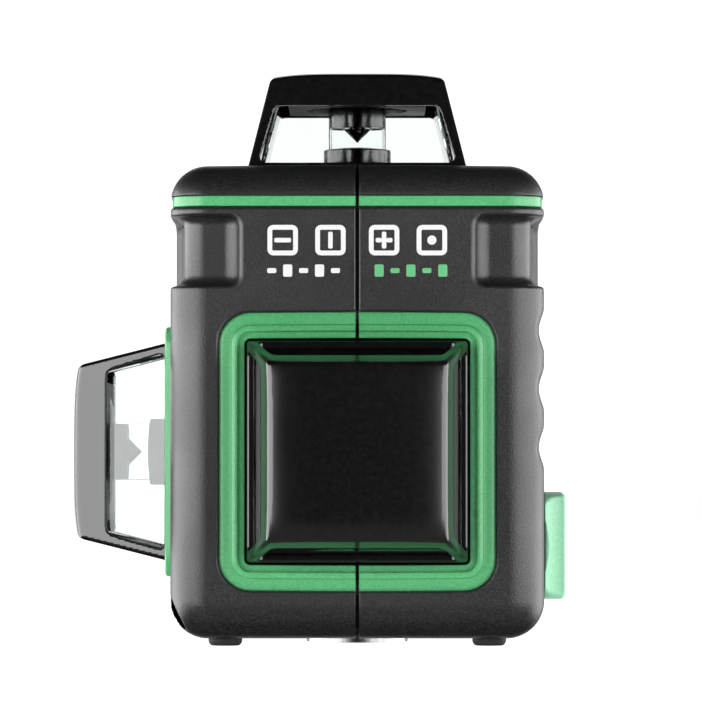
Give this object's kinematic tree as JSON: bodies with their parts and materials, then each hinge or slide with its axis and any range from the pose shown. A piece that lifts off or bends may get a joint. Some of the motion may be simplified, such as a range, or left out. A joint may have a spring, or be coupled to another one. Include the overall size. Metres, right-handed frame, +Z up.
{
  "type": "laser level",
  "caption": "Self-levelling line laser level with glazed cone-mirror windows on its top, front and side, a damped pendulum inside and a transport lock knob.",
  "frame": {"origin": "mouth of the large tripod thread, in the plane of the feet, on the plumb axis of the top window", "axes": "+X towards the lock knob, -Y the front window's way, +Z up"},
  "size_m": [0.1112, 0.1008, 0.1285],
  "materials": {
    "casing": "matte",
    "green_trim": "matte",
    "green_key": "matte",
    "grey_key": "matte",
    "gloss_black": "gloss",
    "matt_black": "matte",
    "clear_glass": "gloss",
    "alloy": "satin",
    "steel": "satin",
    "brass": "satin",
    "copper": "satin",
    "mirror": "polished",
    "rubber": "matte",
    "board": "satin",
    "cell_wrap": "gloss",
    "light_pipe": "gloss"
  },
  "bodies": {
    "casing": {"left_shell": "casing", "right_shell": "casing", "left_stripe": "green_trim", "right_stripe": "green_trim", "front_surround_left": "green_trim", "front_surround_right": "green_trim", "side_surround": "green_trim", "top_window_frame": "gloss_black", "side_window_frame": "gloss_black", "front_window_frame": "gloss_black", "top_window_glass": "clear_glass", "side_window_glass": "clear_glass", "front_window_glass": "clear_glass", "stop_plates": "matt_black", "baffles": "matt_black", "chassis_base": "alloy", "tripod_bush_large": "steel", "tripod_bush_small": "steel", "left_upright": "alloy", "right_upright": "alloy", "upright_bearings": "steel", "magnet_carrier": "matt_black", "damping_magnets": "steel", "rubber_feet": "rubber", "rear_frame": "matt_black", "main_board": "board", "tact_switches": "matt_black", "charge_socket": "steel", "keypad_panel": "gloss_black", "indicator_lights": "light_pipe", "driver_board": "board", "lock_switch": "matt_black", "battery_pack": "matt_black", "battery_cells": "cell_wrap", "battery_contacts": "brass", "base_screws": "steel", "rear_screws": "steel", "knob_seal": "rubber"},
    "gimbal": {"gimbal_ring": "alloy", "ring_pins": "steel", "ring_bearings": "steel"},
    "pendulum": {"pendulum_body": "alloy", "pendulum_pins": "steel", "balance_weights": "brass", "damping_disc": "copper", "laser_barrels": "alloy", "collimator_lenses": "clear_glass", "laser_diodes": "brass", "cone_tubes": "clear_glass", "cone_holders": "alloy", "cone_mirrors": "mirror"},
    "lock_knob": {"lock_knob": "green_key", "lock_shaft": "steel"},
    "lock_plunger": {"lock_plunger": "steel", "lock_pad": "rubber"},
    "power_button": {"power_button": "grey_key"},
    "plane_button": {"plane_button": "green_key"},
    "pulse_button": {"pulse_button": "green_key"},
    "battery_door": {"battery_door": "casing"},
    "port_cover": {"port_cover": "rubber"}
  },
  "joints": [
    {"name": "gimbal_tilt", "type": "hinge", "parent": "casing", "child": "gimbal", "pos_m": [0, 0, 0.074], "axis": [1, 0, 0], "range_deg": [-4, 4]},
    {"name": "pendulum_tilt", "type": "hinge", "parent": "gimbal", "child": "pendulum", "pos_m": [0, 0, 0.074], "axis": [0, 1, 0], "range_deg": [-4, 4]},
    {"name": "lock_turn", "type": "hinge", "parent": "casing", "child": "lock_knob", "pos_m": [0.042, 0, 0.0217], "axis": [1, 0, 0], "range_deg": [0, 90]},
    {"name": "plunger_lift", "type": "slide", "parent": "casing", "child": "lock_plunger", "axis": [0, 0, 1], "range_m": [0, 0.00135]},
    {"name": "power_button_press", "type": "slide", "parent": "casing", "child": "power_button", "axis": [0, -1, 0], "range_m": [0, 0.0007], "stiffness_N_per_m": 1500},
    {"name": "plane_button_press", "type": "slide", "parent": "casing", "child": "plane_button", "axis": [0, -1, 0], "range_m": [0, 0.0007], "stiffness_N_per_m": 1500},
    {"name": "pulse_button_press", "type": "slide", "parent": "casing", "child": "pulse_button", "axis": [0, -1, 0], "range_m": [0, 0.0007], "stiffness_N_per_m": 1500},
    {"name": "battery_door_open", "type": "hinge", "parent": "casing", "child": "battery_door", "pos_m": [0, 0.0381, 0.0094], "axis": [-1, 0, 0], "range_deg": [0, 95]},
    {"name": "port_cover_open", "type": "hinge", "parent": "casing", "child": "port_cover", "pos_m": [0.015, 0.03835, 0.05485], "axis": [-1, 0, 0], "range_deg": [0, 100]}
  ],
  "couplings": [
    {"joint": "lock_turn", "follows": "plunger_lift", "rad_per_m": 1163.5}
  ]
}
